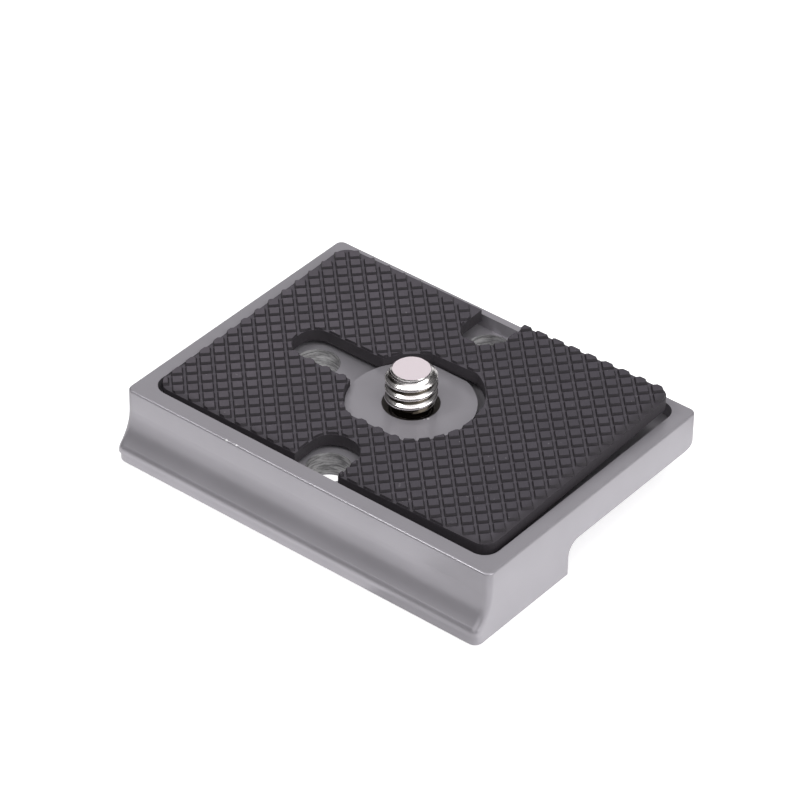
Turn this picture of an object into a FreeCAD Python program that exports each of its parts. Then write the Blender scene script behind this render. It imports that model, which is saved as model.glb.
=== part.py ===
import FreeCAD, Part

import math
import os
import re

import Sketcher
from FreeCAD import Placement, Rotation, Vector

# A quick release plate for a camera. A die cast plate carries a rubber grip pad in its top recess and
# a captive camera screw in its middle, and the screw carries a folding wire ring to turn it by.
# Millimetres. Origin at the bottom centre of the plate, +X along its long side, +Z up to the camera.

# Driving dimensions: name, value, what it measures
DIMENSIONS = [
    ("plate_length", 52.0, "plate along X"),
    ("plate_width", 40.0, "plate along Y, over the lip of the near side"),
    ("plate_height", 9.0, "base to rim"),
    ("flange_height", 4.6, "thickness of the flange that overhangs the far side"),
    ("strip_width", 16.4, "full height strip behind the near side"),
    ("lip_reach", 2.0, "how far the near side flares out below the rim"),
    ("lip_height", 2.0, "height of the corner at the end of the flare"),
    ("lip_radius", 1.3, "rounding of the lip"),
    ("flare_radius", 5.4, "hollow of the flare"),
    ("band_height", 1.35, "plain band under the lip"),
    ("band_inset", 0.2, "how far the band stands back from the lip"),
    ("band_corner", 1.1, "corner radius of the band"),
    ("corner_radius", 0.9, "upright corners of the plate"),
    ("flange_radius", 2.0, "lower edge of the flange"),
    ("step_radius", 1.75, "hollow between the strip and the flange"),
    ("rim_bevel", 0.28, "outer edge of the rim"),
    ("base_radius", 0.3, "outer edges of the base"),
    ("block_length", 42.0, "centre block along X"),
    ("block_top", 13.3, "far face of the centre block, under the flange"),
    ("block_flare", 1.7, "how far that face leans out at the base"),
    ("block_radius", 1.0, "upright corners of the centre block"),
    ("wall", 2.2, "walls around the hollow underside"),
    ("hollow_length", 37.6, "hollow underside along X"),
    ("hollow_far", 11.3, "far wall of the hollow"),
    ("hollow_radius", 2.0, "corners of the hollow"),
    ("web", 3.15, "thickness between the hollow and the recess"),
    ("recess_depth", 1.7, "recess that holds the pad"),
    ("rim_end", 1.85, "rim at the two ends"),
    ("rim_near", 2.1, "rim along the near side"),
    ("rim_far", 1.05, "rim along the far side"),
    ("recess_radius", 2.0, "corners of the recess"),
    ("screw_offset", 1.0, "screw axis from the middle of the plate"),
    ("boss_radius", 7.5, "raised disc around the screw"),
    ("boss_height", 1.3, "height of that disc over the recess"),
    ("boss_clearance", 0.25, "gap between the flats of that disc and of the pad's opening"),
    ("bore_radius", 2.6, "tapped bore for the screw, to its crests"),
    ("mouth_depth", 0.75, "countersink at the mouth of that bore"),
    ("hole_radius", 2.65, "the three cast holes"),
    ("near_hole_offset", 13.7, "hole in the near notch, from the screw"),
    ("far_hole_offset", 15.1, "hole in the far notch, from the screw"),
    ("side_hole_offset", 13.95, "hole at the end of the slot, from the screw"),
    ("hole_shift", 0.65, "how far the two notch holes stand off the middle"),
    ("side_hole_shift", 0.3, "how far the side hole stands off the screw axis along Y"),
    ("gap_left", 0.12, "gap between the pad and the left wall of the recess"),
    ("gap_right", 0.6, "gap between the pad and the right wall"),
    ("gap_near", 0.85, "gap between the pad and the near wall"),
    ("gap_far", 0.55, "gap between the pad and the far wall"),
    ("sheet_thickness", 1.5, "sheet of the pad, under its studs"),
    ("pad_radius", 1.8, "corners of the pad"),
    ("lift_left", 0.0, "lift of the left wing at its near left corner"),
    ("slope_left_along", 0.0151, "rise of the left wing along X"),
    ("slope_left_across", 0.0294, "rise of the left wing along Y"),
    ("lift_right", 0.28, "lift of the right wing where it starts on the near side"),
    ("slope_right_along", 0.030, "rise of the right wing along X"),
    ("slope_right_across", 0.046, "rise of the right wing along Y"),
    ("well_radius", 8.0, "round opening around the screw"),
    ("well_shift", 0.5, "centre of that opening from the screw"),
    ("well_near", 6.95, "flat of that opening on the near side"),
    ("well_far", 7.35, "flat of that opening on the far side"),
    ("slot_width", 5.25, "slot from the opening to the side hole"),
    ("slot_shift", 0.675, "centre of the slot from the screw"),
    ("slot_reach", 17.2, "end of the slot from the screw"),
    ("notch_width", 6.2, "the two notches"),
    ("notch_shift", 0.5, "how far the two notches stand off the middle"),
    ("near_notch_end", 10.3, "inner end of the near notch from the screw"),
    ("far_notch_end", 11.6, "inner end of the far notch from the screw"),
    ("stud_pitch", 1.67, "studs along their rows"),
    ("stud_top", 1.1, "top of a stud"),
    ("stud_foot", 1.39, "foot of a stud"),
    ("stud_height", 0.35, "studs over the sheet"),
    ("stud_turn", 43.9, "rows of studs from the long side, in degrees"),
    ("stud_shift", 0.72, "the stud nearest the screw axis, along its row"),
    ("row_shift", 0.42, "the row of studs nearest the screw axis"),
    ("stud_border", 0.04, "how far the studs stand back from the edges of the sheet"),
    ("thread_radius", 3.06, "thread of the screw, over its crests"),
    ("tip_radius", 2.15, "flat end of the screw"),
    ("thread_top", 4.4, "end of the screw over the rim"),
    ("thread_gap", 0.05, "start of the thread over the disc around the screw"),
    ("neck_radius", 2.3, "plain neck under the thread"),
    ("head_radius", 6.8, "head of the screw"),
    ("head_height", 3.15, "thickness of the head"),
    ("head_lift", 0.15, "head over the base"),
    ("head_bevel", 0.4, "edges of the head"),
    ("coin_slot_width", 1.7, "slot across the head"),
    ("coin_slot_depth", 1.0, "depth of that slot"),
    ("pivot_height", 1.3, "pivot of the ring over the underside of the head"),
    ("pivot_depth", 1.5, "side holes of the head that hold the ring's ends"),
    ("pivot_clearance", 0.05, "radial gap of the ring's ends in those holes"),
    ("pivot_end_gap", 0.15, "gap between the ring's ends and the bottom of those holes"),
    ("wire_radius", 0.8, "wire of the ring"),
    ("ring_half_width", 8.3, "middle of the ring's legs from the screw axis"),
    ("ring_reach", 8.6, "middle of the ring's outer bar from its pivot"),
    ("ring_corner", 7.0, "outer corners of the ring"),
    ("ring_bend", 1.3, "bends where the ring's ends turn in"),
]
MARGIN = 2.0  # how far a cutting outline runs past what it cuts
SINK = 0.15  # how far the root of a stud runs into the sheet
LEAST_SHARE = 0.1  # a stud that the border cuts to less than this share of its volume is left out
CLOSE = 0.02  # how near a point lies to an outline that it is on
END_ROUNDING = 0.45  # corner radius at the inner end of a slot or notch, as a share of its width

doc = FreeCAD.newDocument("quick_release_plate")
sheet = doc.addObject("Spreadsheet::Sheet", "Sizes")
for row, (alias, number, note) in enumerate(DIMENSIONS, start=1):
    sheet.set(f"A{row}", alias)
    sheet.set(f"B{row}", str(number))
    sheet.set(f"C{row}", note)
    sheet.setAlias(f"B{row}", alias)
doc.recompute()

ALIASES = {alias for alias, number, note in DIMENSIONS}


# Expressions

def bound(text):
    """The expression with each size in it pointed at the sheet."""
    return re.sub(r"[a-z_]+", lambda word: f"Sizes.{word[0]}" if word[0] in ALIASES else word[0], text)


def value(text):
    """The number that an expression gives now."""
    return float(sheet.evalExpression(text))


def bind(owner, **expressions):
    """Ties properties of an object to expressions on the sheet."""
    for name, text in expressions.items():
        owner.setExpression(name, bound(text))


# Sketches

def new_sketch(body, name, role, offset="0"):
    """A sketch on one of the body's own planes, moved along that plane's normal by an expression."""
    sketch = body.newObject("Sketcher::SketchObject", name)
    plane = next(item for item in body.Origin.OriginFeatures if item.Role == role)
    sketch.AttachmentSupport = (plane, [""])
    sketch.MapMode = "FlatFace"
    sketch.AttachmentOffset = Placement(Vector(0, 0, value(offset)), Rotation())
    if offset != "0":
        sketch.setExpression("AttachmentOffset.Base.z", bound(offset))
    return sketch


def constrain(sketch, kind, *arguments, size=None):
    """A constraint, with its size bound to the sheet where it has one."""
    if size is None:
        sketch.addConstraint(Sketcher.Constraint(kind, *arguments))
    else:
        index = sketch.addConstraint(Sketcher.Constraint(kind, *arguments, value(size)))
        sketch.setExpression(f"Constraints[{index}]", bound(size))


def place_point(sketch, geometry, point, across, up):
    """Fixes a point of the sketch at two expressions."""
    constrain(sketch, "DistanceX", geometry, point, size=across)
    constrain(sketch, "DistanceY", geometry, point, size=up)


def draw_line_through(sketch, corners, closed=True):
    """Lines through corners (across, up), with an arc at each corner given as (across, up, radius)."""
    spots = [Vector(value(corner[0]), value(corner[1]), 0) for corner in corners]
    count = len(corners)
    enter, leave, rounding = list(spots), list(spots), {}
    for n, corner in enumerate(corners):
        if len(corner) < 3:
            continue
        before = (spots[n - 1] - spots[n]).normalize()
        after = (spots[(n + 1) % count] - spots[n]).normalize()
        half = before.getAngle(after) / 2
        radius = value(corner[2])
        enter[n] = spots[n] + before * (radius / math.tan(half))
        leave[n] = spots[n] + after * (radius / math.tan(half))
        middle = (before + after).normalize()
        centre = spots[n] + middle * (radius / math.sin(half))
        nearest = centre - middle * radius
        rounding[n] = Part.Arc(enter[n], nearest, leave[n])
    spans = count if closed else count - 1
    lines = []
    for n in range(spans):
        lines.append(sketch.addGeometry(Part.LineSegment(leave[n], enter[(n + 1) % count])))
    for n, corner in enumerate(corners):
        if n in rounding:
            join_with_arc(sketch, rounding[n], lines[n - 1], lines[n], spots[n], corner)
        elif closed or 0 < n < spans:
            constrain(sketch, "Coincident", lines[n - 1], 2, lines[n], 1)
            place_point(sketch, lines[n], 1, corner[0], corner[1])
        elif n == 0:
            place_point(sketch, lines[0], 1, corner[0], corner[1])
        else:
            place_point(sketch, lines[-1], 2, corner[0], corner[1])


def join_with_arc(sketch, arc, line_before, line_after, spot, corner):
    """An arc tangent to two lines, which still run towards the fixed corner."""
    curve = sketch.addGeometry(arc)
    point = sketch.addGeometry(Part.Point(spot), True)
    start = sketch.getPoint(curve, 1)
    from_before = (start - sketch.getPoint(line_before, 2)).Length
    begins = from_before < (start - sketch.getPoint(line_after, 1)).Length
    constrain(sketch, "Tangent", line_before, 2, curve, 1 if begins else 2)
    constrain(sketch, "Tangent", line_after, 1, curve, 2 if begins else 1)
    constrain(sketch, "PointOnObject", point, 1, line_before)
    constrain(sketch, "PointOnObject", point, 1, line_after)
    constrain(sketch, "Radius", curve, size=corner[2])
    place_point(sketch, point, 1, corner[0], corner[1])


def draw_circle(sketch, across, up, radius):
    """A circle with its centre and radius bound to the sheet."""
    centre = Vector(value(across), value(up), 0)
    circle = sketch.addGeometry(Part.Circle(centre, Vector(0, 0, 1), value(radius)))
    place_point(sketch, circle, 3, across, up)
    constrain(sketch, "Radius", circle, size=radius)


def draw_flatted_circle(sketch, across, up, radius, low, high):
    """A circle cut off by two flats at the heights low and high."""
    centre = Vector(value(across), value(up), 0)
    reach = value(radius)
    low_half = math.sqrt(reach ** 2 - (value(low) - centre.y) ** 2)
    high_half = math.sqrt(reach ** 2 - (value(high) - centre.y) ** 2)
    ends = [
        Vector(centre.x + low_half, value(low), 0),
        Vector(centre.x + high_half, value(high), 0),
        Vector(centre.x - high_half, value(high), 0),
        Vector(centre.x - low_half, value(low), 0),
    ]
    right = sketch.addGeometry(Part.Arc(ends[0], centre + Vector(reach, 0, 0), ends[1]))
    top = sketch.addGeometry(Part.LineSegment(ends[1], ends[2]))
    left = sketch.addGeometry(Part.Arc(ends[2], centre - Vector(reach, 0, 0), ends[3]))
    bottom = sketch.addGeometry(Part.LineSegment(ends[3], ends[0]))
    sides = [right, top, left, bottom]
    for n, side in enumerate(sides):
        constrain(sketch, "Coincident", side, 2, sides[(n + 1) % len(sides)], 1)
    constrain(sketch, "Coincident", right, 3, left, 3)
    constrain(sketch, "Equal", right, left)
    constrain(sketch, "Radius", right, size=radius)
    place_point(sketch, right, 3, across, up)
    for flat, height in ((top, high), (bottom, low)):
        constrain(sketch, "Horizontal", flat)
        constrain(sketch, "DistanceY", flat, 1, size=height)


def rectangle(left, right, near, far, radius=None):
    """The corners of a rectangle, rounded where a radius is given."""
    tail = (radius,) if radius else ()
    return [(left, near) + tail, (right, near) + tail, (right, far) + tail, (left, far) + tail]


# Features

def new_body(label):
    """A body that becomes one node."""
    body = doc.addObject("PartDesign::Body", label)
    body.Label = label
    return body


def finish_feature(body, feature, before=None):
    """Recomputes, and checks that a cut took something away and that an addition added something."""
    doc.recompute()
    if before is not None:
        change = feature.Shape.Volume - before
        cuts = feature.TypeId in ("PartDesign::Pocket", "PartDesign::Groove")
        if (change >= 0) if cuts else (change <= 0):
            raise RuntimeError(f"{feature.Name} changes nothing")
    return feature


def extrude(body, kind, name, sketch, length, both_ways=False, reverse=False):
    """A pad or a pocket of a sketch. A pocket runs against the sketch's normal unless it is reversed."""
    before = body.Shape.Volume if body.Tip else None
    feature = body.newObject(f"PartDesign::{kind}", name)
    feature.Profile = sketch
    feature.SideType = "Symmetric" if both_ways else "One side"
    feature.Reversed = reverse
    bind(feature, Length=length)
    return finish_feature(body, feature, before)


def edges_where(shape, test):
    """Names of the edges whose points all pass a test."""
    names = []
    for number, edge in enumerate(shape.Edges, start=1):
        points = [vertex.Point for vertex in edge.Vertexes] + [edge.CenterOfMass]
        if all(test(point) for point in points):
            names.append(f"Edge{number}")
    return names


def dress(body, kind, name, size, test):
    """A fillet or chamfer on the edges of the body that pass a test."""
    base = body.Tip
    edges = edges_where(base.Shape, test)
    if not edges:
        raise RuntimeError(f"{name} finds no edges")
    feature = body.newObject(f"PartDesign::{kind}", name)
    feature.Base = (base, edges)
    bind(feature, **{"Radius" if kind == "Fillet" else "Size": size})
    doc.recompute()
    return feature


def near_to(number, text):
    """Whether a coordinate lies at an expression."""
    return abs(number - value(text)) < CLOSE


# The cast plate: its end profile drawn along X, with a concave flare that a clamp holds on the near side

RIM_NEAR_Y = "(-plate_width / 2 + lip_reach)"
STRIP_INNER_Y = "(-plate_width / 2 + strip_width)"
FLANGE_Z = "(plate_height - flange_height)"
RECESS_Z = "(plate_height - recess_depth)"
RECESS_NEAR_Y = f"({RIM_NEAR_Y} + rim_near)"
RECESS_FAR_Y = "(plate_width / 2 - rim_far)"
RECESS_END_X = "(plate_length / 2 - rim_end)"
HOLLOW_NEAR_Y = f"({RIM_NEAR_Y} + wall)"
HOLLOW_Z = f"({RECESS_Z} - web)"
BOSS_Z = f"({RECESS_Z} + boss_height)"


def make_plate_body():
    body = new_body("plate_body")

    # Rim, flare, lip, foot, step and flange in one profile
    profile = new_sketch(body, "end_profile", "YZ_Plane")
    draw_line_through(profile, [
        (RIM_NEAR_Y, "plate_height"),
        (RIM_NEAR_Y, "lip_height + lip_reach", "flare_radius"),
        ("-plate_width / 2", "lip_height", "lip_radius"),
        ("-plate_width / 2", "0"),
        (STRIP_INNER_Y, "0"),
        (STRIP_INNER_Y, FLANGE_Z, "step_radius"),
        ("plate_width / 2", FLANGE_Z, "flange_radius"),
        ("plate_width / 2", "plate_height"),
    ])
    extrude(body, "Pad", "cast_section", profile, "plate_length", both_ways=True)
    dress(body, "Fillet", "near_corners", "corner_radius", is_near_corner)

    # The two upright corners of the far side
    for side in ("-1", "1"):
        name = "left_far_corner" if side == "-1" else "right_far_corner"
        corner = new_sketch(body, f"{name}_outline", "XY_Plane", "plate_height")
        draw_line_through(corner, [
            (f"{side} * plate_length / 2", "plate_width / 2 - 2 * corner_radius"),
            (f"{side} * plate_length / 2", "plate_width / 2", "corner_radius"),
            (f"{side} * (plate_length / 2 - 2 * corner_radius)", "plate_width / 2"),
            (f"{side} * (plate_length / 2 - 2 * corner_radius)", f"plate_width / 2 + {MARGIN}"),
            (f"{side} * (plate_length / 2 + {MARGIN})", f"plate_width / 2 + {MARGIN}"),
            (f"{side} * (plate_length / 2 + {MARGIN})", "plate_width / 2 - 2 * corner_radius"),
        ])
        extrude(body, "Pocket", name, corner, "plate_height")

    # The centre block, whose far face leans out at the base for the clamp's lever
    block = new_sketch(body, "block_profile", "YZ_Plane")
    draw_line_through(block, [
        (HOLLOW_NEAR_Y, "0"),
        ("block_top + block_flare", "0"),
        ("block_top", FLANGE_Z),
        ("block_top", RECESS_Z),
        (HOLLOW_NEAR_Y, RECESS_Z),
    ])
    extrude(body, "Pad", "centre_block", block, "block_length", both_ways=True)
    dress(body, "Fillet", "block_corners", "block_radius", is_block_corner)

    # The recess for the pad, with a raised disc around the screw
    recess = new_sketch(body, "recess_outline", "XY_Plane", "plate_height")
    draw_line_through(recess, rectangle(
        f"-{RECESS_END_X}", RECESS_END_X, RECESS_NEAR_Y, RECESS_FAR_Y, "recess_radius"))
    extrude(body, "Pocket", "pad_recess", recess, "recess_depth")
    disc = new_sketch(body, "boss_outline", "XY_Plane", RECESS_Z)
    near_flat = "screw_offset - well_near + boss_clearance"
    far_flat = "screw_offset + well_far - boss_clearance"
    draw_flatted_circle(disc, "0", "screw_offset", "boss_radius", near_flat, far_flat)
    extrude(body, "Pad", "screw_boss", disc, "boss_height")

    # The hollow underside, where the screw's head and ring lie
    hollow = new_sketch(body, "hollow_outline", "XY_Plane")
    draw_line_through(hollow, rectangle(
        "-hollow_length / 2", "hollow_length / 2", HOLLOW_NEAR_Y, "hollow_far", "hollow_radius"))
    extrude(body, "Pocket", "underside_hollow", hollow, HOLLOW_Z, reverse=True)

    # The three cast holes, one of them through the flange, and the bore for the screw
    holes = new_sketch(body, "hole_outlines", "XY_Plane", RECESS_Z)
    draw_circle(holes, "-hole_shift", "screw_offset - near_hole_offset", "hole_radius")
    draw_circle(holes, "-side_hole_offset", "screw_offset + side_hole_shift", "hole_radius")
    extrude(body, "Pocket", "cast_holes", holes, f"web + {MARGIN}")
    far_hole = new_sketch(body, "far_hole_outline", "XY_Plane", RECESS_Z)
    draw_circle(far_hole, "-hole_shift", "screw_offset + far_hole_offset", "hole_radius")
    extrude(body, "Pocket", "far_cast_hole", far_hole, f"{RECESS_Z} - {FLANGE_Z}")
    bore = new_sketch(body, "bore_outline", "XY_Plane", BOSS_Z)
    draw_circle(bore, "0", "screw_offset", "bore_radius")
    extrude(body, "Pocket", "screw_bore", bore, f"boss_height + web + {MARGIN}")
    dress(body, "Chamfer", "bore_mouth", "mouth_depth", is_bore_mouth)

    # The band under the lip stands back a little
    band = new_sketch(body, "band_outline", "XY_Plane")
    band_near = "(-plate_width / 2 + band_inset)"
    draw_line_through(band, [
        ("-plate_length / 2", f"{band_near} + 2 * band_corner"),
        ("-plate_length / 2", band_near, "band_corner"),
        ("plate_length / 2", band_near, "band_corner"),
        ("plate_length / 2", f"{band_near} + 2 * band_corner"),
        (f"plate_length / 2 + {MARGIN}", f"{band_near} + 2 * band_corner"),
        (f"plate_length / 2 + {MARGIN}", f"-plate_width / 2 - {MARGIN}"),
        (f"-plate_length / 2 - {MARGIN}", f"-plate_width / 2 - {MARGIN}"),
        (f"-plate_length / 2 - {MARGIN}", f"{band_near} + 2 * band_corner"),
    ])
    extrude(body, "Pocket", "lip_band", band, "band_height", reverse=True)
    dress(body, "Fillet", "rim_edge", "rim_bevel", is_rim_edge)
    dress(body, "Fillet", "base_edge", "base_radius", is_base_edge)
    return body


def is_near_corner(point):
    """The edges of the two end faces that follow the near side."""
    on_end = near_to(abs(point.x), "plate_length / 2")
    return on_end and point.y < value(RIM_NEAR_Y) + CLOSE and point.z > -CLOSE


def is_block_corner(point):
    """The upright edges at the far corners of the centre block."""
    on_end = near_to(abs(point.x), "block_length / 2")
    return on_end and point.y > value("block_top") - CLOSE and point.z < value(FLANGE_Z) + CLOSE


def is_bore_mouth(point):
    """The upper edge of the screw's bore."""
    from_axis = math.hypot(point.x, point.y - value("screw_offset"))
    return near_to(point.z, BOSS_Z) and from_axis < value("bore_radius") + CLOSE


def is_rim_edge(point):
    """The outer edges of the rim's top face."""
    at_end = abs(point.x) > value(f"{RECESS_END_X} + rim_end / 2")
    at_near = point.y < value(f"{RECESS_NEAR_Y} - rim_near / 2")
    at_far = point.y > value(f"{RECESS_FAR_Y} + rim_far / 2")
    return near_to(point.z, "plate_height") and (at_end or at_near or at_far)


def is_base_edge(point):
    """The outer edges of the base."""
    at_hollow = (abs(point.x) < value("hollow_length / 2 + wall / 2")
                 and value(f"{HOLLOW_NEAR_Y} - wall / 2") < point.y < value("hollow_far + wall / 2"))
    return near_to(point.z, "0") and not at_hollow


# The grip pad: a studded sheet that has lifted as two flat wings, joined by a short twisted stretch
# beside the screw

PAD_LEFT_X = f"(gap_left - {RECESS_END_X})"
PAD_RIGHT_X = f"({RECESS_END_X} - gap_right)"
PAD_NEAR_Y = f"({RECESS_NEAR_Y} + gap_near)"
PAD_FAR_Y = f"({RECESS_FAR_Y} - gap_far)"
WAIST_LEFT_X = "(-notch_width / 2 - notch_shift)"
WAIST_RIGHT_X = "(notch_width / 2 - notch_shift)"
CUT_Z = f"({MARGIN} + recess_depth + sheet_thickness)"


def wing_height(side, along, across):
    """Expression for the lift of a wing's underside over the recess."""
    start = PAD_LEFT_X if side == "left" else WAIST_RIGHT_X
    return (f"(lift_{side} + slope_{side}_along * ({along} - {start})"
            f" + slope_{side}_across * ({across} - {PAD_NEAR_Y}))")


def make_pad_sheet():
    """The sheet, and the outlines of its openings."""
    body = new_body("pad_sheet")

    # An upright section at each side of the screw, drawn out into a wing along its own slope, and a twisted
    # stretch of straight lines between the two sections
    near, far = f"({PAD_NEAR_Y} - {MARGIN})", f"({PAD_FAR_Y} + {MARGIN})"
    sections = []
    for side, along in (("left", WAIST_LEFT_X), ("right", WAIST_RIGHT_X)):
        section = new_sketch(body, f"{side}_section", "YZ_Plane", along)
        low, high = wing_height(side, along, near), wing_height(side, along, far)
        low_top, high_top = f"{low} + sheet_thickness", f"{high} + sheet_thickness"
        draw_line_through(section, [(near, low), (far, high), (far, high_top), (near, low_top)])
        sections.append(section)
    doc.recompute()
    twist = body.newObject("PartDesign::AdditiveLoft", "twisted_stretch")
    twist.Profile = sections[0]
    twist.Sections = [sections[1]]
    twist.Ruled = True
    finish_feature(body, twist)
    lengths = (f"{WAIST_LEFT_X} - {PAD_LEFT_X}", f"{PAD_RIGHT_X} - {WAIST_RIGHT_X}")
    for side, section, length in zip(("left", "right"), sections, lengths):
        wing = body.newObject("PartDesign::Pad", f"{side}_wing")
        wing.Profile = section
        wing.UseCustomVector = True
        wing.Direction = Vector(1, 0, value(f"slope_{side}_along"))
        wing.AlongSketchNormal = True
        wing.Reversed = side == "left"
        bind(wing, **{"Direction.z": f"slope_{side}_along", "Length": f"{length} + {MARGIN}"})
        finish_feature(body, wing)

    # Everything outside the pad's outline goes
    outline = new_sketch(body, "pad_outline", "XY_Plane", CUT_Z)
    draw_line_through(outline, rectangle(
        f"{PAD_LEFT_X} - 2 * {MARGIN}", f"{PAD_RIGHT_X} + 2 * {MARGIN}",
        f"{PAD_NEAR_Y} - 2 * {MARGIN}", f"{PAD_FAR_Y} + 2 * {MARGIN}"))
    draw_line_through(outline, rectangle(PAD_LEFT_X, PAD_RIGHT_X, PAD_NEAR_Y, PAD_FAR_Y, "pad_radius"))
    extrude(body, "Pocket", "pad_edge", outline, f"2 * {CUT_Z}")

    # The opening around the screw with its two flats, and the slot and notches over the three holes
    well = new_sketch(body, "well_outline", "XY_Plane", CUT_Z)
    draw_flatted_circle(well, "well_shift", "screw_offset", "well_radius",
                        "screw_offset - well_near", "screw_offset + well_far")
    extrude(body, "Pocket", "well", well, f"2 * {CUT_Z}")
    outlines = [well]
    notch_left, notch_right = "-notch_shift - notch_width / 2", "-notch_shift + notch_width / 2"
    slot_near = "screw_offset + slot_shift - slot_width / 2"
    slot_far = "screw_offset + slot_shift + slot_width / 2"
    slot_rounding, notch_rounding = f"{END_ROUNDING} * slot_width", f"{END_ROUNDING} * notch_width"
    openings = [
        ("slot", [
            ("-slot_reach", slot_near, slot_rounding),
            ("0", slot_near),
            ("0", slot_far),
            ("-slot_reach", slot_far, slot_rounding),
        ]),
        ("near_notch", [
            (notch_left, f"{PAD_NEAR_Y} - {MARGIN}"),
            (notch_right, f"{PAD_NEAR_Y} - {MARGIN}"),
            (notch_right, "screw_offset - near_notch_end", notch_rounding),
            (notch_left, "screw_offset - near_notch_end", notch_rounding),
        ]),
        ("far_notch", [
            (notch_left, "screw_offset + far_notch_end", notch_rounding),
            (notch_right, "screw_offset + far_notch_end", notch_rounding),
            (notch_right, f"{PAD_FAR_Y} + {MARGIN}"),
            (notch_left, f"{PAD_FAR_Y} + {MARGIN}"),
        ]),
    ]
    for name, corners in openings:
        opening = new_sketch(body, f"{name}_outline", "XY_Plane", CUT_Z)
        draw_line_through(opening, corners)
        extrude(body, "Pocket", name, opening, f"2 * {CUT_Z}")
        outlines.append(opening)
    return body, outlines


def sheet_top(x, y):
    """Height and slopes of the sheet's upper face at a place."""
    left_x, right_x = value(WAIST_LEFT_X), value(WAIST_RIGHT_X)

    def on_wing(side, along):
        height = value(f"{wing_height(side, f'({along})', f'({y})')} + sheet_thickness")
        return height, value(f"slope_{side}_along"), value(f"slope_{side}_across")

    if x <= left_x:
        return on_wing("left", x)
    if x >= right_x:
        return on_wing("right", x)
    share = (x - left_x) / (right_x - left_x)
    left, right = on_wing("left", left_x), on_wing("right", right_x)
    height = left[0] + share * (right[0] - left[0])
    return height, (right[0] - left[0]) / (right_x - left_x), left[2] + share * (right[2] - left[2])


def studded_field(outlines):
    """The upright block that the studs stand in, just inside the outline and openings of the sheet."""
    left, near = value(f"{PAD_LEFT_X} + stud_border"), value(f"{PAD_NEAR_Y} + stud_border")
    length = value(f"{PAD_RIGHT_X} - stud_border") - left
    width = value(f"{PAD_FAR_Y} - stud_border") - near
    deep = value(CUT_Z)
    field = Part.makeBox(length, width, 2 * deep, Vector(left, near, -deep))
    upright = [edge for edge in field.Edges if edge.BoundBox.ZLength > deep]
    field = field.makeFillet(value("pad_radius - stud_border"), upright)
    for outline in outlines:
        face = Part.Face(outline.Shape.Wires).makeOffset2D(value("stud_border"))
        face.Placement.Base.z = face.Placement.Base.z - outline.Shape.BoundBox.ZMin + deep
        field = field.cut(face.extrude(Vector(0, 0, -2 * deep)))
    return field


def make_studs(outlines):
    """Square studs with drafted sides in rows across the pad, each on the slope of the sheet under it."""
    draft = value("(stud_foot - stud_top) / (2 * stud_height)")
    root = value("stud_foot") / 2 + draft * SINK
    top = value("stud_top") / 2
    stud = Part.makeWedge(-root, -SINK, -root, -top, -top, root, value("stud_height"), root, top, top)
    field = studded_field(outlines)
    pitch, turn = value("stud_pitch"), Rotation(Vector(0, 0, 1), value("stud_turn"))
    rows = int(value("plate_length + plate_width") / pitch / 2)
    studs = []
    for row in range(-rows, rows + 1):
        for column in range(-rows, rows + 1):
            along_row = column * pitch + value("stud_shift")
            place = turn.multVec(Vector(along_row, row * pitch + value("row_shift"), 0))
            place.y += value("screw_offset")
            in_length = value(PAD_LEFT_X) < place.x < value(PAD_RIGHT_X)
            if not (in_length and value(PAD_NEAR_Y) < place.y < value(PAD_FAR_Y)):
                continue
            place.z, along, across = sheet_top(place.x, place.y)
            tilt = Rotation(Vector(0, 0, 1), Vector(-along, -across, 1))
            piece = stud.copy()
            piece.Placement = Placement(place, tilt * turn * Rotation(Vector(1, 0, 0), 90))
            piece = piece.common(field)
            if piece.Volume > LEAST_SHARE * stud.Volume:
                studs.extend(piece.Solids)
    return studs


def make_grip_pad():
    sheet_body, outlines = make_pad_sheet()
    studs = doc.addObject("Part::Feature", "studs")
    studs.Shape = Part.Compound(make_studs(outlines))
    pad = doc.addObject("Part::MultiFuse", "grip_pad")
    pad.Label = "grip_pad"
    pad.Shapes = [sheet_body, studs]
    bind(pad, **{"Placement.Base.z": RECESS_Z})
    doc.recompute()
    return pad


# The captive screw: threaded end, plain neck and slotted head, turned about +Z

HEAD_TOP_Z = "(head_lift + head_height)"
THREAD_START_Z = f"({BOSS_Z} + thread_gap)"
TIP_Z = "(plate_height + thread_top)"


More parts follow.
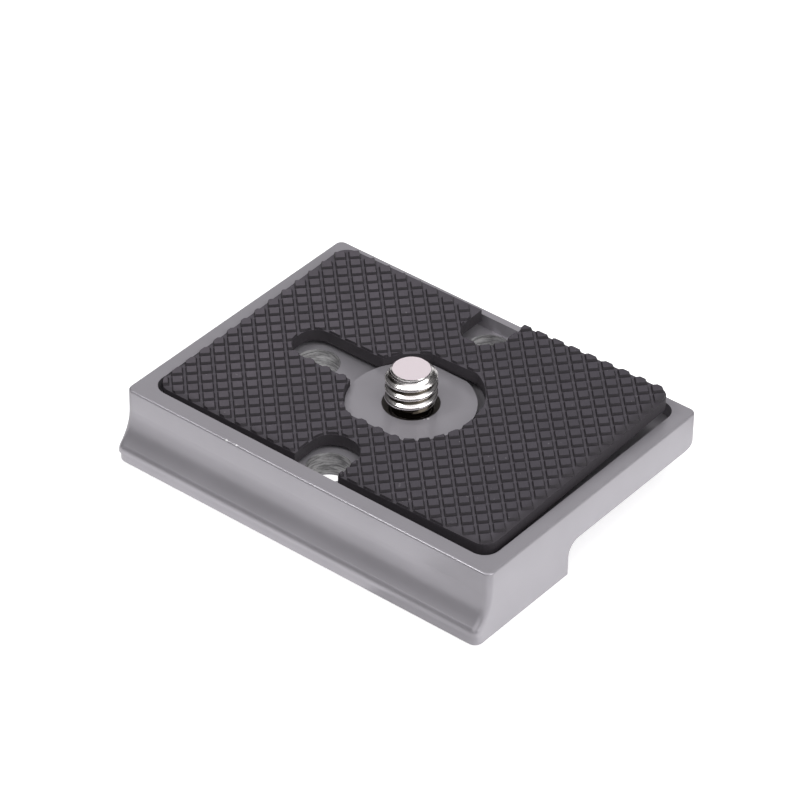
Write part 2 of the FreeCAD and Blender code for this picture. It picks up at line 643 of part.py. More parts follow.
def make_camera_screw():
    body = new_body("camera_screw")
    bind(body, **{"Placement.Base.y": "screw_offset"})
    section = new_sketch(body, "turned_section", "XZ_Plane")
    draw_line_through(section, [
        ("0", "head_lift"),
        ("head_radius - head_bevel", "head_lift"),
        ("head_radius", "head_lift + head_bevel"),
        ("head_radius", f"{HEAD_TOP_Z} - head_bevel"),
        ("head_radius - head_bevel", HEAD_TOP_Z),
        ("neck_radius", HEAD_TOP_Z),
        ("neck_radius", THREAD_START_Z),
        ("thread_radius", f"{THREAD_START_Z} + thread_radius - neck_radius"),
        ("thread_radius", f"{TIP_Z} - (thread_radius - tip_radius)"),
        ("tip_radius", TIP_Z),
        ("0", TIP_Z),
    ])
    turning = body.newObject("PartDesign::Revolution", "turned_screw")
    turning.Profile = section
    turning.ReferenceAxis = (section, ["V_Axis"])
    turning.Angle = 360
    finish_feature(body, turning)

    # The coin slot across the head, and the two blind holes in its side for the ring
    slot = new_sketch(body, "coin_slot_outline", "XY_Plane", "head_lift")
    past_head = f"head_radius + {MARGIN}"
    draw_line_through(slot, rectangle(
        f"-({past_head})", past_head, "-coin_slot_width / 2", "coin_slot_width / 2"))
    extrude(body, "Pocket", "coin_slot", slot, "coin_slot_depth", reverse=True)
    for name, sign in (("near_pivot", ""), ("far_pivot", "-")):
        hole = new_sketch(body, f"{name}_outline", "XZ_Plane", f"{sign}(head_radius + {MARGIN})")
        draw_circle(hole, "0", "head_lift + pivot_height", "wire_radius + pivot_clearance")
        extrude(body, "Pocket", name, hole, f"pivot_depth + {MARGIN}", reverse=name == "far_pivot")
    return body


# The folding ring: one bent wire, lying flat towards +X, with its two ends turned in

def make_d_ring():
    body = new_body("d_ring")
    bind(body, **{"Placement.Base.y": "screw_offset", "Placement.Base.z": "head_lift + pivot_height"})
    end = "(head_radius - pivot_depth + pivot_end_gap)"
    path = new_sketch(body, "ring_path", "XY_Plane")
    draw_line_through(path, [
        ("0", f"-{end}"),
        ("0", "-ring_half_width", "ring_bend"),
        ("ring_reach", "-ring_half_width", "ring_corner"),
        ("ring_reach", "ring_half_width", "ring_corner"),
        ("0", "ring_half_width", "ring_bend"),
        ("0", end),
    ], closed=False)
    wire = new_sketch(body, "wire_section", "XZ_Plane", end)
    draw_circle(wire, "0", "0", "wire_radius")
    doc.recompute()
    bend = body.newObject("PartDesign::AdditivePipe", "bent_wire")
    bend.Profile = wire
    bend.Spine = path
    finish_feature(body, bend)
    return body


# Build, check and write

nodes = [make_plate_body(), make_grip_pad(), make_camera_screw(), make_d_ring()]
doc.recompute()
for item in doc.Objects:
    if "Invalid" in item.State or "Error" in item.State:
        raise RuntimeError(f"{item.Name} did not compute: {item.State}")
os.makedirs("parts", exist_ok=True)
for node in nodes:
    if node.Shape.isNull() or not node.Shape.isValid() or len(node.Shape.Solids) != 1:
        raise RuntimeError(f"{node.Label} is not one valid solid")
for node in nodes:
    box = node.Shape.BoundBox
    print(f"{node.Label}: {box.XLength:.2f} x {box.YLength:.2f} x {box.ZLength:.2f} mm")
    node.Shape.exportStep(f"parts/{node.Label}.step")
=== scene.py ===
# %% [markdown]
# # A quick release plate for a camera
# The plate is a small die casting, painted satin grey. A rubber pad with a raised pattern of small squares
# lies in its top, and a plated camera screw stands up through the middle. This lesson takes the measured
# solids, gives each one the finish it has on the real thing, cuts a real thread on the screw and lights the
# plate like a product photograph.

import math

import bmesh
import bpy
from mathutils import Matrix, Vector


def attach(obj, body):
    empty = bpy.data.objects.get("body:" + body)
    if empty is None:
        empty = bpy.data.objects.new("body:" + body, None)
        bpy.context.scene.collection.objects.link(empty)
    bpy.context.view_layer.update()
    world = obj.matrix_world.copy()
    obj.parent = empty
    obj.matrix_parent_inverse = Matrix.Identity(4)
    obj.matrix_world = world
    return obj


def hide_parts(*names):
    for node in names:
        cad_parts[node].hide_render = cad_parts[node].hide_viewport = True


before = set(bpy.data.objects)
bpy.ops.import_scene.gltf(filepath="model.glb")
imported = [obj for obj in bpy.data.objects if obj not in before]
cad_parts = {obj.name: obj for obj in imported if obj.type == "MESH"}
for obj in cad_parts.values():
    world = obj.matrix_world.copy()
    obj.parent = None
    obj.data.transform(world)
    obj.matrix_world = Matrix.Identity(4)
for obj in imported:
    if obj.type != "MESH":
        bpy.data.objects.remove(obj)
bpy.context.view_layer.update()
MM = 0.001
print("pieces:", ", ".join(sorted(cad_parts)))

# %% [markdown]
# ## Helpers for nodes
# Every material here is a small graph of nodes. It could be drawn by hand in the editor, but then each
# change would have to be found again by eye. A few helpers place a node, wire it up and give back the
# socket to go on with, so a material reads like a recipe.

# %% Helpers that place and wire nodes
def feed(tree, item, socket):
    """Wires an output to a socket, or sets the socket to a number, a place or a colour."""
    if isinstance(item, bpy.types.NodeSocket):
        tree.links.new(item, socket)
    elif socket.type == "RGBA":
        socket.default_value = (*item, 1)
    else:
        socket.default_value = item


def math_node(tree, operation, *items):
    """A Math node whose inputs are sockets or plain numbers."""
    node = tree.nodes.new("ShaderNodeMath")
    node.operation = operation
    for socket, item in zip(node.inputs, items):
        feed(tree, item, socket)
    return node.outputs[0]


def vector_node(tree, operation, *items):
    """A Vector Math node. LENGTH and DOT_PRODUCT put out a number, and the others a vector."""
    node = tree.nodes.new("ShaderNodeVectorMath")
    node.operation = operation
    for socket, item in zip(node.inputs, items):
        feed(tree, item, socket)
    return node.outputs["Value" if operation in ("LENGTH", "DOT_PRODUCT") else "Vector"]


def split(tree, vector):
    """The outputs X, Y and Z of a vector."""
    node = tree.nodes.new("ShaderNodeSeparateXYZ")
    feed(tree, vector, node.inputs[0])
    return node.outputs


# %% Helpers that shape a value
def ramp(tree, value, low, high, to_low=0.0, to_high=1.0, shape="SMOOTHSTEP"):
    """Turns a value's way from low to high into a step between two other numbers."""
    node = tree.nodes.new("ShaderNodeMapRange")
    node.interpolation_type = shape
    feed(tree, value, node.inputs["Value"])
    for name, number in (("From Min", low), ("From Max", high), ("To Min", to_low), ("To Max", to_high)):
        node.inputs[name].default_value = number
    return node.outputs["Result"]


def noise(tree, place, scale, detail=3.0, roughness=0.5):
    """Noise over the object's own coordinates. The scale is in cells per metre."""
    node = tree.nodes.new("ShaderNodeTexNoise")
    for name, item in (("Vector", place), ("Scale", scale), ("Detail", detail), ("Roughness", roughness)):
        feed(tree, item, node.inputs[name])
    return node.outputs["Fac"]


def mix_colour(tree, factor, first, second):
    """Mixes two colours, each a socket or three numbers. A Mix node has its colours at inputs 6 and 7."""
    node = tree.nodes.new("ShaderNodeMix")
    node.data_type = "RGBA"
    for index, item in ((0, factor), (6, first), (7, second)):
        feed(tree, item, node.inputs[index])
    return node.outputs[2]


def mix_value(tree, factor, first, second):
    """Mixes two numbers or sockets. A Mix node has its numbers at inputs 2 and 3."""
    node = tree.nodes.new("ShaderNodeMix")
    for index, item in ((0, factor), (2, first), (3, second)):
        feed(tree, item, node.inputs[index])
    return node.outputs[0]


# %% [markdown]
# ## Shared effects
# Moulded rubber, plated steel and paint all need grain, and the paint and the steel need marks at known
# places. Such an effect is built once as a node group with named sockets, and each material sets its own
# numbers. The groups only put out values. The shader stays in the material.

# %% Helpers that start and place a node group
def new_effect(name, inputs, outputs):
    """A node group with named sockets: inputs are (name, kind, default), outputs are (name, kind)."""
    group = bpy.data.node_groups.new(name, "ShaderNodeTree")
    for label, kind, default in inputs:
        socket = group.interface.new_socket(label, in_out="INPUT", socket_type=f"NodeSocket{kind}")
        socket.default_value = default
    for label, kind in outputs:
        group.interface.new_socket(label, in_out="OUTPUT", socket_type=f"NodeSocket{kind}")
    return group, group.nodes.new("NodeGroupInput").outputs, group.nodes.new("NodeGroupOutput").inputs


def add_effect(tree, group, **values):
    """Places a node group, with its inputs set to sockets or to numbers."""
    node = tree.nodes.new("ShaderNodeGroup")
    node.node_tree = group
    for label, item in values.items():
        feed(tree, item, node.inputs[label.replace("_", " ")])
    return node.outputs


# %% Grain: fine and coarse noise over the piece
grain, grain_in, grain_out = new_effect(
    "grain",
    [("Place", "Vector", (0, 0, 0)), ("Fine Scale", "Float", 3000.0), ("Coarse Scale", "Float", 200.0)],
    [("Fine", "Float"), ("Coarse", "Float")],
)
for label in ("Fine", "Coarse"):
    feed(grain, noise(grain, grain_in["Place"], grain_in[f"{label} Scale"]), grain_out[label])
print("effect:", grain.name)

# %% A round mark: 1 inside an upright cylinder and between two heights, 0 elsewhere
round_mark, mark_in, mark_out = new_effect(
    "round_mark",
    [
        ("Place", "Vector", (0, 0, 0)),
        ("Centre", "Vector", (0, 0, 0)),
        ("Radius", "Float", 0.003),
        ("Low", "Float", -1.0),
        ("High", "Float", 1.0),
    ],
    [("Mask", "Float"), ("Distance", "Float")],
)
offset = vector_node(round_mark, "SUBTRACT", mark_in["Place"], mark_in["Centre"])
level_offset = vector_node(round_mark, "MULTIPLY", offset, (1, 1, 0))
distance = vector_node(round_mark, "LENGTH", level_offset)
height = split(round_mark, mark_in["Place"])["Z"]
mask = math_node(round_mark, "LESS_THAN", distance, mark_in["Radius"])
for operation, limit in (("GREATER_THAN", "Low"), ("LESS_THAN", "High")):
    passed = math_node(round_mark, operation, height, mark_in[limit])
    mask = math_node(round_mark, "MULTIPLY", mask, passed)
feed(round_mark, mask, mark_out["Mask"])
feed(round_mark, distance, mark_out["Distance"])
print("effect:", round_mark.name)


def add_mark(tree, place, across, along, radius, low=-1000.0, high=1000.0):
    """Places a round mark. Its centre, its radius and its lowest and highest z are in mm."""
    return add_effect(tree, round_mark, Place=place, Centre=(across * MM, along * MM, 0),
                      Radius=radius * MM, Low=low * MM, High=high * MM)


# %% A material with its own coordinates ready
def new_material(name):
    """A material, its tree, its Principled shader and its Object coordinates."""
    material = bpy.data.materials.new(name)
    material.use_nodes = True
    shader = material.node_tree.nodes["Principled BSDF"]
    place = material.node_tree.nodes.new("ShaderNodeTexCoord").outputs["Object"]
    return material, material.node_tree, shader, place


def add_bump(tree, shader, height, distance):
    """Bumps the shader's normal by a height, with the distance in metres."""
    bump = tree.nodes.new("ShaderNodeBump")
    bump.inputs["Distance"].default_value = distance
    feed(tree, height, bump.inputs["Height"])
    feed(tree, bump.outputs["Normal"], shader.inputs["Normal"])


def shade(colour, level):
    """A darker or lighter version of a colour."""
    return tuple(level * part for part in colour)


# %% [markdown]
# ## Satin paint on a die casting
# The casting is painted a warm grey with a fine metallic in it, and faint clouds of lighter and darker
# paint lie over it. The walls of the three cast holes are bare metal with fine marks round them. The inside
# of the bore is darkened, a painted shade. Two bright spots at the bore's mouth are a painted glint, and two
# tiny nicks near the top's near edge show bright metal. All this could be painted into an image, but that
# needs an unwrapped mesh, and it blurs up close. Masks on the object's own coordinates find the same places,
# and they stay there in every view. The roughness of the paint changes only a little and stays above 0.275,
# because the denoiser treats anything smoother as a mirror, and paint that crosses that number gets specks.

# %% The paint's colours and the places without paint, in mm
PAINT = (0.352, 0.339, 0.366)
BARE_METAL = (0.56, 0.555, 0.56)
# light metal for the nicks, and for the painted glint at the bore's mouth
NICK_AND_GLINT_METAL = (0.72, 0.71, 0.72)
# the bore's dark colour is a painted shade inside the hole
BORE_SHADE = (0.14, 0.13, 0.12)
HOLES = [(-0.65, -12.7), (-0.65, 16.1), (-13.95, 1.3)]  # centres of the cast holes
HOLE_WALL = (2.68, 4.3, 7.27)  # a radius just over the hole's, and the wall's lowest and highest z
BORE = (0.0, 1.0, 3.36, -1.0, 8.56)  # centre, radius, lowest and highest z
# the first two spots are a painted glint at the bore's mouth, the last two are nicks near the top's near edge
NICKS_AND_GLINTS = [  # centre, radius and lowest z
    (3.36, -0.12, 0.15, 8.5),
    (3.08, -0.5, 0.09, 8.5),
    (-11.1, -17.9, 0.15, 8.85),
    (-9.65, -17.86, 0.11, 8.85),
]
MARKS_ROUND = (0.35, 0.35, 2.2)  # draws the marks out round the hole, and packs them along its depth
MARK_NOISE = (1600.0, 6.0, 0.7)  # cells per metre, detail, roughness
MARK_DEPTH = 0.05
DARK_MARK, LIGHT_MARK = 0.38, 0.62  # the noise's values for the darkest and the plain metal
DARKEST_MARK = 0.40  # its share of the metal's brightness
DARK_CLOUD, LIGHT_CLOUD = 0.92, 1.08  # shares of the paint's brightness
PAINT_METALLIC, BARE_METALLIC = 0.45, 0.8
PAINT_ROUGHNESS, CLOUD_ROUGHNESS, BARE_ROUGHNESS = 0.268, 0.05, 0.5
print("holes:", len(HOLES), "nicks:", len(NICKS_AND_GLINTS))

# %% The plate's paint
paint, tree, shader, place = new_material("plate_paint")
clouds = add_effect(tree, grain, Place=place, Coarse_Scale=160.0)["Coarse"]
marks = noise(tree, vector_node(tree, "MULTIPLY", place, MARKS_ROUND), *MARK_NOISE)
plain = ramp(tree, marks, DARK_MARK, LIGHT_MARK)
metal = mix_colour(tree, plain, shade(BARE_METAL, DARKEST_MARK), BARE_METAL)
bare = 0.0
for centre in HOLES:
    bare = math_node(tree, "MAXIMUM", bare, add_mark(tree, place, *centre, *HOLE_WALL)["Mask"])
colour = mix_colour(tree, clouds, shade(PAINT, DARK_CLOUD), shade(PAINT, LIGHT_CLOUD))
# paints shade inside the bore
colour = mix_colour(tree, add_mark(tree, place, *BORE)["Mask"], colour, BORE_SHADE)
# paints the glint at the bore's mouth and the nicks near the top's edge
for bright_spot in NICKS_AND_GLINTS:
    colour = mix_colour(tree, add_mark(tree, place, *bright_spot)["Mask"], colour, NICK_AND_GLINT_METAL)
satin = math_node(tree, "MULTIPLY_ADD", clouds, CLOUD_ROUGHNESS, PAINT_ROUGHNESS)
feed(tree, mix_colour(tree, bare, colour, metal), shader.inputs["Base Color"])
feed(tree, mix_value(tree, bare, PAINT_METALLIC, BARE_METALLIC), shader.inputs["Metallic"])
feed(tree, mix_value(tree, bare, satin, BARE_ROUGHNESS), shader.inputs["Roughness"])
add_bump(tree, shader, math_node(tree, "MULTIPLY", bare, marks), MARK_DEPTH * MM)
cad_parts["plate_body"].data.materials[0] = paint
print("finish:", paint.name)

# %% [markdown]
# ## Moulded rubber
# The pad is one moulding in black rubber. Its studs are rubbed a little by handling, so their tops are
# plain charcoal, a little lighter towards the left end. The grooves between them are painted about as light
# as the tops, a painted light, although less light gets there. The sides of the studs and of the openings
# are painted near black, a painted shade, and more painted shade darkens the pad towards its right end and
# along its near edge. The three could be materials of their own, given face by face, but the studs are many
# and small. Height over the pad's sheet tells tops from grooves instead, and the normal tells sides from
# both. The sheet lies a little twisted, so its height is worked out from one slope for each half, and mixed
# between the two notches.

# %% Height over the pad's sheet
SHEET_Z = 8.8  # the sheet's upper face at its left near corner, in mm
NEAR_Y, RIGHT_X = -15.05, 23.55  # the pad's near side and its right end, in mm
WAIST = (-3.6, 2.6)  # the notches' left and right ends, in mm
SLOPES = [  # each half of the pad: where it starts and its height there, in mm, its slope along and across
    (-24.03, 0.0, 0.0151, 0.0294),
    (2.6, 0.28, 0.030, 0.046),
]

over_sheet, sheet_in, sheet_out = new_effect(
    "over_sheet",
    [("Place", "Vector", (0, 0, 0))],
    [("Height", "Float")],
)
position = split(over_sheet, sheet_in["Place"])
from_near = math_node(over_sheet, "SUBTRACT", position["Y"], NEAR_Y * MM)
halves = []
for (begin, lift, along, across), limit, operation in zip(SLOPES, WAIST, ("MINIMUM", "MAXIMUM")):
    reach = math_node(over_sheet, operation, position["X"], limit * MM)
    half = math_node(over_sheet, "MULTIPLY_ADD", reach, along, (SHEET_Z + lift - begin * along) * MM)
    halves.append(math_node(over_sheet, "MULTIPLY_ADD", from_near, across, half))
share = ramp(over_sheet, position["X"], WAIST[0] * MM, WAIST[1] * MM, shape="LINEAR")
sheet = mix_value(over_sheet, share, *halves)
feed(over_sheet, math_node(over_sheet, "SUBTRACT", position["Z"], sheet), sheet_out["Height"])
print("effect:", over_sheet.name)

# %% The pad's rubber
STUD_TOP, LEFT_STUD_TOP = (0.060, 0.054, 0.065), (0.082, 0.073, 0.086)
# the grooves are painted about as light as the tops, a painted light where less light reaches them
GROOVE_PAINTED_LIGHT = (0.074, 0.067, 0.079)
# the sides' near black is a painted shade
SIDE_SHADE = (0.035, 0.031, 0.036)
DUST = (0.15, 0.14, 0.15)
GROOVE_TO_TOP = (0.12 * MM, 0.24 * MM)  # heights over the sheet, from a groove to a stud's top
LEFT_TO_RIGHT = (-20 * MM, 2 * MM)  # where the tops' colour changes along the pad
FACING_UP = (0.93, 0.985)  # the normal's z, from a side to a top
HANDLING = (0.5, 0.75)  # the tops' brightness: this share of the coarse noise, added to this
DUST_NOISE, DUST_SPECKS = (2300.0, 1.0), (0.745, 0.79)  # cells per metre and detail, values from bare to dusty
# painted shade towards the pad's right end and along its near edge
PAD_END_SHADE = [  # the axis, from where to where in mm, and how much light is left at both
    ("X", RIGHT_X - 1.5, RIGHT_X - 0.2, 1.0, 0.25),
    ("Y", NEAR_Y, NEAR_Y + 1.0, 0.5, 1.0),
]
print("specks of dust:", DUST_NOISE[0] * MM, "to a mm")

# %% The nodes of the pad's rubber
rubber, tree, shader, place = new_material("pad_rubber")
skin = add_effect(tree, grain, Place=place, Fine_Scale=5200.0, Coarse_Scale=260.0)
position = split(tree, place)
height = add_effect(tree, over_sheet, Place=place)["Height"]
tops = mix_colour(tree, ramp(tree, position["X"], *LEFT_TO_RIGHT), LEFT_STUD_TOP, STUD_TOP)
tops = vector_node(tree, "MULTIPLY", tops, math_node(tree, "MULTIPLY_ADD", skin["Coarse"], *HANDLING))
# gives the grooves their painted light
colour = mix_colour(tree, ramp(tree, height, *GROOVE_TO_TOP), GROOVE_PAINTED_LIGHT, tops)
colour = mix_colour(tree, ramp(tree, noise(tree, place, *DUST_NOISE), *DUST_SPECKS), colour, DUST)
normal = tree.nodes.new("ShaderNodeTexCoord").outputs["Normal"]
# painted shade on the sides of studs and openings, and towards the pad's right end and near edge
unshaded = ramp(tree, split(tree, normal)["Z"], *FACING_UP)
for axis, begin, end, at_begin, at_end in PAD_END_SHADE:
    light = ramp(tree, position[axis], begin * MM, end * MM, at_begin, at_end)
    unshaded = math_node(tree, "MULTIPLY", unshaded, light)
feed(tree, mix_colour(tree, unshaded, SIDE_SHADE, colour), shader.inputs["Base Color"])
matt = ramp(tree, skin["Fine"], 0.2, 0.8, 0.5, 0.62)
feed(tree, matt, shader.inputs["Roughness"])
shader.inputs["Specular IOR Level"].default_value = 0.35
add_bump(tree, shader, skin["Fine"], 0.01 * MM)
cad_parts["grip_pad"].data.materials[0] = rubber
print("finish:", rubber.name)

# %% [markdown]
# ## Plated steel
# The screw and its wire ring are steel with a bright plating. Plating is a mirror with a faint haze, so the
# material is metallic and its roughness stays low. The valleys of the thread are painted dark, a painted
# shade. Distance from the axis finds them, and the painted shade fades out in the chamfer at the tip. The flat
# tip is worn dull, so a mark of its own makes it rougher and paler, and its pale pinkish colour is a painted
# reflection. The ring shares the finish.

# %% The screw's plating
PLATING = (0.93, 0.90, 0.89)
# dark colour of the painted shade in the thread's valleys
VALLEY_SHADE_COLOUR = (0.060, 0.052, 0.042)
# the tip's pale pinkish white is a painted reflection
TIP_PAINTED_REFLECTION = (0.96, 0.86, 0.90)
DARK_PLATING = 0.93  # its share of the plating's brightness
VALLEY = (2.56 * MM, 2.74 * MM)  # the painted shade fades out between these distances from the axis
SHADE_START_Z = 8.0 * MM  # the painted shade starts at this height
SHADE_END_Z = (12.6 * MM, 12.8 * MM)  # and fades out between these
TIP_MARK = (0.0, 1.0, 2.2, 13.38)  # centre, radius and lowest z, in mm
TIP_ROUGHNESS, TIP_METALLIC = 0.42, 0.55
CLEAR, HAZY = 0.16, 0.26  # the plating's roughness

plating, tree, shader, place = new_material("plated_steel")
skin = add_effect(tree, grain, Place=place, Fine_Scale=3500.0, Coarse_Scale=500.0)
height = split(tree, place)["Z"]
tip = add_mark(tree, place, *TIP_MARK)
# painted shade in the thread's valleys, above the neck and short of the tip
valley_shade = math_node(tree, "MULTIPLY", ramp(tree, tip["Distance"], *VALLEY, 1.0, 0.0),
                 ramp(tree, height, *SHADE_END_Z, 1.0, 0.0))
valley_shade = math_node(tree, "MULTIPLY", valley_shade, math_node(tree, "GREATER_THAN", height, SHADE_START_Z))
colour = mix_colour(tree, skin["Coarse"], shade(PLATING, DARK_PLATING), PLATING)
colour = mix_colour(tree, valley_shade, colour, VALLEY_SHADE_COLOUR)
haze = ramp(tree, skin["Fine"], 0.25, 0.75, CLEAR, HAZY)
# paints the reflection's colour onto the flat tip
feed(tree, mix_colour(tree, tip["Mask"], colour, TIP_PAINTED_REFLECTION), shader.inputs["Base Color"])
feed(tree, mix_value(tree, tip["Mask"], haze, TIP_ROUGHNESS), shader.inputs["Roughness"])
feed(tree, mix_value(tree, tip["Mask"], 1.0, TIP_METALLIC), shader.inputs["Metallic"])
add_bump(tree, shader, skin["Fine"], 0.004 * MM)
for name in ("camera_screw", "d_ring"):
    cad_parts[name].data.materials[0] = plating
print("finish:", plating.name)

# %% [markdown]
# ## A real thread
# The measured screw is plain where the thread goes. A bump in the material could hint at a thread, but the
# outline would stay straight. A thread is one profile, here a tooth with a rounded crest, drawn round the
# axis while it climbs by one pitch a turn. The spin operator does exactly that when it is given a climb for
# each step. Its turns are merged into one skin, everything that would stick out past the chamfers at start
# and tip is pushed back to them, and a plane cuts the ends off square. Head and neck are kept from a copy
# of the measured piece.

# %% The thread's sizes
AXIS = Vector((0, 1.0, 0)) * MM
PITCH = 1.27 * MM
CREST, ROOT = 3.03 * MM, 2.28 * MM  # radii
HALF_TOOTH = 0.515 * MM  # half a tooth's width at its root
TIP_Z, TIP_RADIUS = 13.4 * MM, 2.15 * MM
START_Z = 9.41 * MM
CREST_ROUND = [(0.17, 0.26), (0.10, 0.21), (0.045, 0.15), (0.012, 0.08), (0.0, 0.0)]  # drop and side, in mm
STEPS = 72  # to a turn
print(f"thread: {(TIP_Z - START_Z) / PITCH:.1f} turns of {PITCH / MM} mm")


# %% One turn's profile, spun up the axis
def thread_envelope(z):
    """The largest radius that the thread may have at a height."""
    at_tip = TIP_RADIUS + max(0.0, TIP_Z - z)
    at_start = ROOT + max(0.0, z - START_Z + (CREST - ROOT))
    return min(at_tip, max(ROOT, min(CREST, at_start)))


def make_thread():
    """The skin of the thread from below its start up to the tip."""
    thread = bmesh.new()
    half = [(ROOT, 0.0), (ROOT, PITCH / 2 - HALF_TOOTH)]
    half += [(CREST - drop * MM, PITCH / 2 - side * MM) for drop, side in CREST_ROUND]
    section = half + [(radius, PITCH - rise) for radius, rise in reversed(half[:-1])]
    bottom = START_Z - 2 * PITCH
    corners = [thread.verts.new(AXIS + Vector((radius, 0, bottom + rise))) for radius, rise in section]
    chain = [thread.edges.new(pair) for pair in zip(corners, corners[1:])]
    turns = math.ceil((TIP_Z - bottom) / PITCH) + 1
    bmesh.ops.spin(thread, geom=corners + chain, cent=AXIS, axis=(0, 0, 1), dvec=(0, 0, PITCH / STEPS),
                   angle=math.tau * turns, steps=STEPS * turns)
    bmesh.ops.remove_doubles(thread, verts=thread.verts, dist=0.002 * MM)
    for corner in thread.verts:
        away = corner.co - AXIS
        radius = math.hypot(away.x, away.y)
        limit = thread_envelope(corner.co.z)
        if radius > limit:
            corner.co = AXIS + Vector((away.x * limit / radius, away.y * limit / radius, away.z))
    return thread


thread = make_thread()
print("thread skin:", len(thread.faces), "faces")


# %% Square ends
def cut_level(mesh, z, keep_above):
    """Cuts a mesh at a height, and closes the cut."""
    cut = bmesh.ops.bisect_plane(mesh, geom=mesh.verts[:] + mesh.edges[:] + mesh.faces[:], dist=1e-7,
                                 plane_co=(0, 0, z), plane_no=(0, 0, 1),
                                 clear_outer=not keep_above, clear_inner=keep_above)
    rim = [item for item in cut["geom_cut"] if isinstance(item, bmesh.types.BMEdge) and item.is_boundary]
    bmesh.ops.edgeloop_fill(mesh, edges=rim)


NECK_CUT_Z = 8.0 * MM
cut_level(thread, TIP_Z, keep_above=False)
cut_level(thread, NECK_CUT_Z, keep_above=True)
print("thread with ends:", len(thread.faces), "faces")

# %% Head and neck from the measured screw
NECK_OVERLAP = 0.2 * MM  # the neck reaches this far into the thread's root
head = bmesh.new()
head.from_mesh(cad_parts["camera_screw"].data)
bmesh.ops.remove_doubles(head, verts=head.verts, dist=0.0005 * MM)
cut_level(head, NECK_CUT_Z + NECK_OVERLAP, keep_above=False)
print("head and neck:", len(head.faces), "faces")

# %% Join both, and put the screw in the plate
SHARP_ANGLE = math.radians(32)
screw_mesh = bpy.data.meshes.new("threaded_screw")
head_mesh = bpy.data.meshes.new("head")
head.to_mesh(head_mesh)
thread.from_mesh(head_mesh)
bmesh.ops.recalc_face_normals(thread, faces=thread.faces)
for face in thread.faces:
    face.smooth = True
thread.to_mesh(screw_mesh)
head.free()
thread.free()
bpy.data.meshes.remove(head_mesh)
screw_mesh.set_sharp_from_angle(angle=SHARP_ANGLE)
screw_mesh.materials.append(plating)
screw = bpy.data.objects.new("threaded_screw", screw_mesh)
bpy.context.scene.collection.objects.link(screw)
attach(screw, "screw")
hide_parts("camera_screw")
print("screw:", len(screw_mesh.polygons), "faces")

# %% [markdown]
# ## Camera
# The photograph was taken with a long lens, from the corner of the plate and well above it. The camera
# could be told to track a point, but then its roll and its small shift to the side are hard to set. Here
# its place is worked out from its direction and distance, and its turn comes from three axes at right
# angles.

# %% The photograph's camera
AZIMUTH, ELEVATION, ROLL = (math.radians(angle) for angle in (38.4527, 37.2431, 0.8771))
DISTANCE = 505.1725 * MM
AIM = Vector((0, 1.0, 9.0)) * MM
SLIDE = Vector((-1.2477, -0.0352)) * MM
LENS = 202.17


def from_angles(azimuth, elevation):
    """The direction towards an azimuth and an elevation, seen from the plate."""
    level = math.cos(elevation)
    return Vector((math.sin(azimuth) * level, -math.cos(azimuth) * level, math.sin(elevation)))


back = from_angles(AZIMUTH, ELEVATION)
right = Vector((math.cos(AZIMUTH), math.sin(AZIMUTH), 0))
up = right.cross(-back)
right, up = (right * math.cos(ROLL) + up * math.sin(ROLL), -right * math.sin(ROLL) + up * math.cos(ROLL))
camera = bpy.data.objects.new("camera", bpy.data.cameras.new("camera"))
camera.data.lens = LENS
camera.data.sensor_width = 36.0
camera.data.clip_start = 0.01
turn = Matrix((right, up, back)).transposed().to_4x4()
camera.matrix_world = Matrix.Translation(AIM + back * DISTANCE + right * SLIDE.x + up * SLIDE.y) @ turn
bpy.context.scene.collection.objects.link(camera)
bpy.context.scene.camera = camera
print("camera at", tuple(round(number, 4) for number in camera.location))

# %% [markdown]
# ## Floor
# Product photographs of small metal parts are made on white card. A plain white floor would do for paint
# and rubber, but metal mirrors the whole of it. So the card tells the kinds of light ray apart. The camera
# sees it as plain white with a faint shadow under the plate. Gloss sees it bright next to the plate and
# dark further out, with a dark wedge where the photographer stands. From below it is clear, so the
# underside can be looked at. It lies a little below the plate, because two faces in one plane flicker.

# %% White floor
FLOOR_HALF = 1.5  # metres
FLOOR_Z = -0.02 * MM
floor_mesh = bpy.data.meshes.new("floor")
sweep = bmesh.new()
lowered = Matrix.Translation((0, 0, FLOOR_Z))
bmesh.ops.create_grid(sweep, x_segments=1, y_segments=1, size=FLOOR_HALF, matrix=lowered)
sweep.to_mesh(floor_mesh)
sweep.free()
floor = bpy.data.objects.new("floor", floor_mesh)
bpy.context.scene.collection.objects.link(floor)
print("floor:", len(floor_mesh.polygons), "face")

# %% How bright the card looks
HALF_PLATE = {"X": 26 * MM, "Y": 20 * MM}  # half the plate's length and width
PHOTOGRAPHER = (0.65, -0.76, 0)  # the direction of the dark wedge
WEDGE = (0.965, 0.985, 1.0, 0.15)  # how near to that direction, and the light beside and inside the wedge
BRIGHT_RING = (5 * MM, 10 * MM, 0.76, 0.08)  # distances from the outline, and what gloss sees there
SHADOW = (50 * MM, 150 * MM, 0.55, 1.0)  # distances from the middle, and the card's own white there
UNDER_PLATE = (-8 * MM, -5 * MM, 1.0, 0.0)  # the same, for the card seen through the holes
print("dark wedge towards", PHOTOGRAPHER)

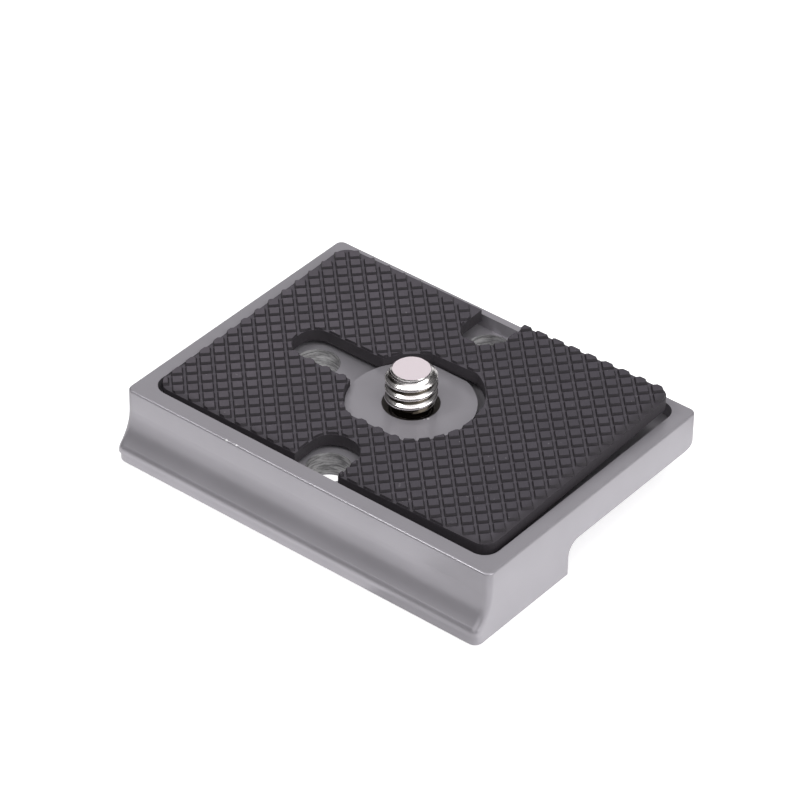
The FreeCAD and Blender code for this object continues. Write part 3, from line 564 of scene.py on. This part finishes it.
# %% The nodes for the card's brightness
card, tree, shader, place = new_material("white_card")
rays = tree.nodes.new("ShaderNodeLightPath").outputs
position = split(tree, place)
gaps = []
for axis, half in HALF_PLATE.items():
    gaps.append(math_node(tree, "SUBTRACT", math_node(tree, "ABSOLUTE", position[axis]), half))
outside = math_node(tree, "MAXIMUM", *gaps)  # how far a place lies outside the plate's outline
ahead = vector_node(tree, "DOT_PRODUCT", vector_node(tree, "NORMALIZE", place), PHOTOGRAPHER)
in_gloss = math_node(tree, "MULTIPLY", ramp(tree, outside, *BRIGHT_RING), ramp(tree, ahead, *WEDGE))
away = vector_node(tree, "LENGTH", place)
in_camera = math_node(tree, "MAXIMUM", ramp(tree, away, *SHADOW), ramp(tree, outside, *UNDER_PLATE))
mirrored = math_node(tree, "MAXIMUM", rays["Is Glossy Ray"], rays["Is Transmission Ray"])
glow = math_node(tree, "MAXIMUM", math_node(tree, "MULTIPLY", rays["Is Camera Ray"], in_camera),
                 math_node(tree, "MULTIPLY", mirrored, in_gloss))
print("card:", card.name)

# %% The card's shader
shader.inputs["Base Color"].default_value = (0.8, 0.8, 0.8, 1)
shader.inputs["Roughness"].default_value = 0.9
shader.inputs["Emission Color"].default_value = (1, 1, 1, 1)
feed(tree, glow, shader.inputs["Emission Strength"])
clear = tree.nodes.new("ShaderNodeBsdfTransparent")
backfacing = tree.nodes.new("ShaderNodeNewGeometry").outputs["Backfacing"]
seen_from_below = math_node(tree, "MULTIPLY", backfacing, rays["Is Camera Ray"])


def mix_shaders(tree, factor, first, second, surface):
    """Mixes the outputs of two shaders into the surface of a material or a world."""
    node = tree.nodes.new("ShaderNodeMixShader")
    for socket, item in zip(node.inputs, (factor, first.outputs[0], second.outputs[0])):
        feed(tree, item, socket)
    feed(tree, node.outputs[0], surface)


mix_shaders(tree, seen_from_below, shader, clear, tree.nodes["Material Output"].inputs["Surface"])
floor_mesh.materials.append(card)
print("floor:", card.name)

# %% [markdown]
# ## Light
# The plate stands in a white tent. A large soft lamp on the right lights the end face most, a small one
# stands at the front left, and a large one hangs overhead. The tent itself is dim and gets a little
# brighter upwards. Metal shows what stands around it, so the tent has a bright window above the
# photographer and a fainter card across from them. Lamps could stand there too, but their edges would show
# as hard lines in the plating. A glow in the world fades out softly.

# %% Soft lamps
LAMPS = [  # name, azimuth, elevation, distance and size in metres, watts
    ("right_lamp", 97, 22, 0.8, 0.8, 4.0),
    ("front_lamp", -38, 53, 0.8, 0.22, 1.6),
    ("top_lamp", 30, 86, 0.8, 1.2, 2.6),
]
for name, azimuth, elevation, distance, size, watts in LAMPS:
    lamp = bpy.data.objects.new(name, bpy.data.lights.new(name, "AREA"))
    lamp.data.shape = "DISK"
    lamp.data.size = size
    lamp.data.energy = watts
    towards = from_angles(math.radians(azimuth), math.radians(elevation))
    facing_plate = towards.to_track_quat("Z", "Y").to_matrix().to_4x4()
    lamp.matrix_world = Matrix.Translation(towards * distance) @ facing_plate
    bpy.context.scene.collection.objects.link(lamp)
print("lamps:", len(LAMPS))

# %% The tent around the plate
GLOWS = [  # direction, how near to it the glow starts and is full, strength
    ((-0.495, 0.624, 0.605), 0.8, 0.97, 0.36),  # the card at the far side
    ((0.353, -0.452, 0.819), 0.70, 0.88, 0.9),  # the window above the photographer
]
TENT = (0.2, 0.62, 0.05, 0.12)  # the direction's z from low to high, and the strength at both
world = bpy.data.worlds.new("tent")
world.use_nodes = True
tree = world.node_tree
direction = tree.nodes.new("ShaderNodeTexCoord").outputs["Generated"]
strength = ramp(tree, split(tree, direction)["Z"], *TENT)
for towards, begin, full, glow in GLOWS:
    nearness = vector_node(tree, "DOT_PRODUCT", direction, towards)
    strength = math_node(tree, "ADD", strength, ramp(tree, nearness, begin, full, 0.0, glow))
tent = tree.nodes["Background"]
tent.inputs["Color"].default_value = (1.0, 0.985, 1.0, 1)
feed(tree, strength, tent.inputs["Strength"])
white = tree.nodes.new("ShaderNodeBackground")
white.inputs["Color"].default_value = (1, 1, 1, 1)
camera_ray = tree.nodes.new("ShaderNodeLightPath").outputs["Is Camera Ray"]
mix_shaders(tree, camera_ray, tent, white, tree.nodes["World Output"].inputs["Surface"])
bpy.context.scene.world = world
bpy.context.scene.view_settings.view_transform = "Standard"
print("world:", world.name)
